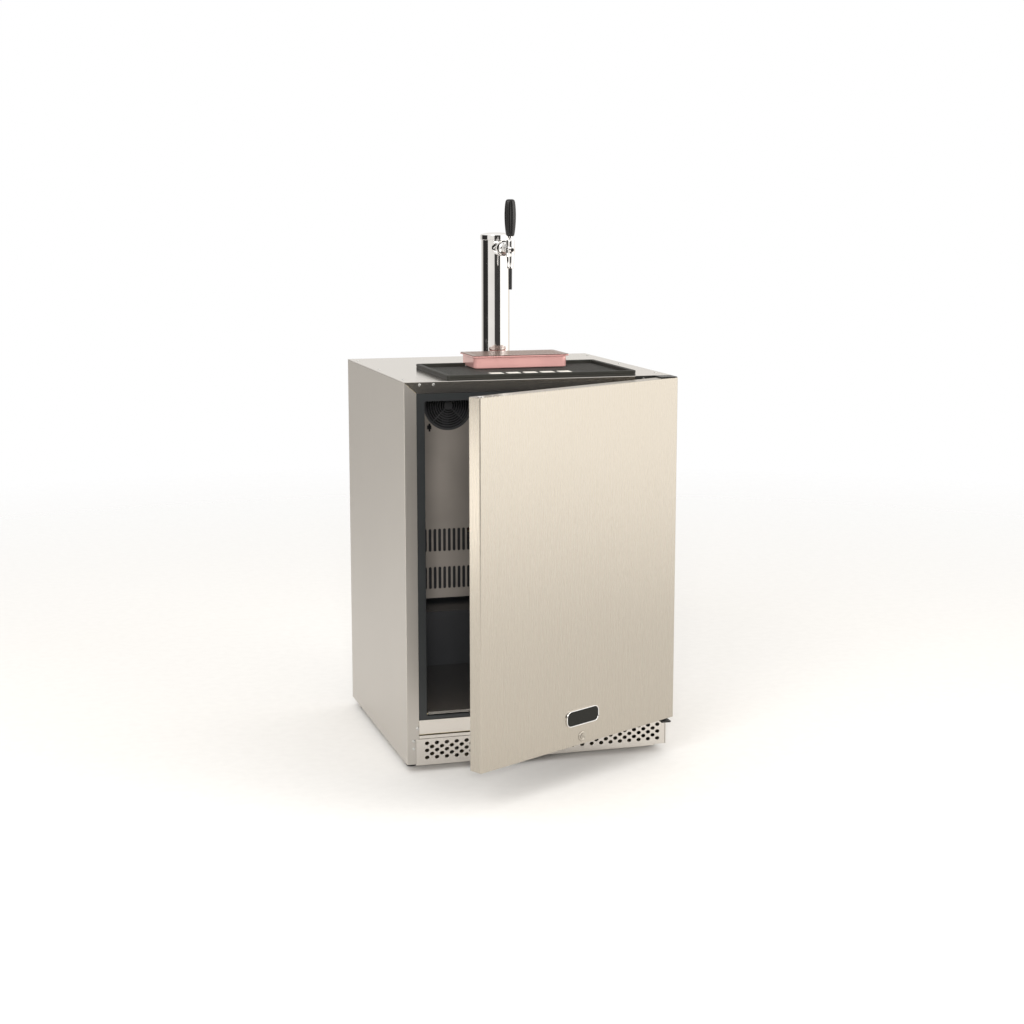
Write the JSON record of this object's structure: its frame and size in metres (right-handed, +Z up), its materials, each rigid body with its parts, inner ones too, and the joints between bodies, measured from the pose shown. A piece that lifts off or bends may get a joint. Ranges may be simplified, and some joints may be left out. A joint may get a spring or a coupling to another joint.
{
  "type": "kegerator",
  "caption": "Undercounter beer dispenser: steel cabinet with a hinged door ajar, keg compartment, fan evaporator, bar mat with drip tray, and a tap tower with one lever faucet.",
  "frame": {"origin": "floor level, in the middle of the whole object's box in X and Y, with the door ajar as in the picture", "axes": "+X to the right seen from the front, +Y to the back, +Z up; the cabinet's front faces -Y"},
  "size_m": [0.6038, 0.9154, 1.232],
  "materials": {
    "stainless_satin": "satin",
    "galvanised": "satin",
    "black_steel": "satin",
    "black_plastic": "matte",
    "grey_plastic": "satin",
    "foam": "matte",
    "white_plastic": "satin",
    "rubber_grey": "matte",
    "gasket_grey": "matte",
    "rubber_black": "matte",
    "chrome": "polished",
    "aluminium_fins": "satin",
    "copper_tube": "satin",
    "badge_black": "gloss",
    "brass": "satin",
    "rose_metal": "satin",
    "handle_black": "gloss"
  },
  "bodies": {
    "cabinet": {"left_side_panel": "stainless_satin", "right_side_panel": "stainless_satin", "top_panel": "stainless_satin", "lower_front_rail": "stainless_satin", "kick_plate": "stainless_satin", "keg_floor_plate": "stainless_satin", "rear_panel": "galvanised", "rear_grille": "galvanised", "base_pan": "galvanised", "compressor": "black_steel", "condenser": "black_steel", "upper_hinge_bracket": "black_steel", "lower_hinge_bracket": "black_steel", "breaker_frame": "black_plastic", "fan_guard": "black_plastic", "evaporator_fan_motor": "black_plastic", "probe_clip": "black_plastic", "condenser_fan_motor": "black_plastic", "power_inlet": "black_plastic", "drain_pan": "black_plastic", "evaporator_cover": "grey_plastic", "inner_liner": "black_plastic", "foam_insulation": "foam", "thermostat_housing": "white_plastic", "gas_grommet": "rubber_black", "upper_hinge_pin": "chrome", "lower_hinge_pin": "chrome", "tower_flange": "chrome", "tower_column": "chrome", "tower_cap": "chrome", "faucet_shank": "chrome", "coupling_nut": "chrome", "faucet_body": "chrome", "lever_bonnet": "chrome", "evaporator": "aluminium_fins", "suction_tube": "copper_tube", "discharge_tube": "copper_tube"},
    "door": {"door_skin": "stainless_satin", "door_foam": "foam", "door_liner": "black_plastic", "door_gasket": "gasket_grey", "badge_rim": "chrome", "badge_face": "badge_black", "lock_body": "chrome", "door_end_plug": "chrome"},
    "lock": {"lock_plug": "chrome", "lock_cam": "galvanised"},
    "evaporator_fan": {"evaporator_fan_blade": "black_plastic"},
    "condenser_fan": {"condenser_fan_blade": "black_plastic"},
    "thermostat": {"thermostat_knob": "black_plastic"},
    "mat": {"bar_mat": "rubber_grey"},
    "tray": {"drip_tray": "rose_metal"},
    "grille": {"drip_grille": "stainless_satin"},
    "lever": {"faucet_lever": "chrome", "tap_handle": "handle_black"},
    "plunger": {"faucet_plunger": "brass"},
    "foot_fl": {"foot_front_left": "rubber_black"},
    "foot_fr": {"foot_front_right": "rubber_black"},
    "foot_rl": {"foot_rear_left": "rubber_black"},
    "foot_rr": {"foot_rear_right": "rubber_black"}
  },
  "joints": [
    {"name": "door_hinge", "type": "hinge", "parent": "cabinet", "child": "door", "pos_m": [0.28157, -0.16582, 0.468], "axis": [0, 0, 1], "range_deg": [-28.7, 81.3]},
    {"name": "lock_turn", "type": "hinge", "parent": "door", "child": "lock", "pos_m": [0.03986, -0.31468, 0.105], "axis": [0.4802, -0.8771, 0], "range_deg": [0, 90]},
    {"name": "evaporator_fan_spin", "type": "hinge", "parent": "cabinet", "child": "evaporator_fan", "pos_m": [-0.07593, 0.37728, 0.7435], "axis": [0, 1, 0], "continuous": true},
    {"name": "condenser_fan_spin", "type": "hinge", "parent": "cabinet", "child": "condenser_fan", "pos_m": [0.05407, 0.38268, 0.112], "axis": [1, 0, 0], "continuous": true},
    {"name": "thermostat_turn", "type": "hinge", "parent": "cabinet", "child": "thermostat", "pos_m": [0.18507, 0.03268, 0.778], "axis": [0, 0, -1], "range_deg": [-135, 135]},
    {"name": "mat_lift", "type": "slide", "parent": "cabinet", "child": "mat", "axis": [0, 0, 1], "range_m": [0, 0.03]},
    {"name": "tray_lift", "type": "slide", "parent": "mat", "child": "tray", "axis": [0, 0, 1], "range_m": [0, 0.05]},
    {"name": "grille_lift", "type": "slide", "parent": "tray", "child": "grille", "axis": [0, 0, 1], "range_m": [0, 0.04]},
    {"name": "tap_lever_tilt", "type": "hinge", "parent": "cabinet", "child": "lever", "pos_m": [0.00407, 0.10968, 1.134], "axis": [1, 0, 0], "range_deg": [0, 28]},
    {"name": "plunger_slide", "type": "slide", "parent": "cabinet", "child": "plunger", "axis": [0, 1, 0], "range_m": [0, 0.0065]},
    {"name": "front_left_foot_height", "type": "slide", "parent": "cabinet", "child": "foot_fl", "axis": [0, 0, -1], "range_m": [0, 0.015]},
    {"name": "front_right_foot_height", "type": "slide", "parent": "cabinet", "child": "foot_fr", "axis": [0, 0, -1], "range_m": [0, 0.015]},
    {"name": "rear_left_foot_height", "type": "slide", "parent": "cabinet", "child": "foot_rl", "axis": [0, 0, -1], "range_m": [0, 0.015]},
    {"name": "rear_right_foot_height", "type": "slide", "parent": "cabinet", "child": "foot_rr", "axis": [0, 0, -1], "range_m": [0, 0.015]}
  ],
  "couplings": [
    {"joint": "plunger_slide", "follows": "tap_lever_tilt", "m_per_rad": 0.0118}
  ]
}
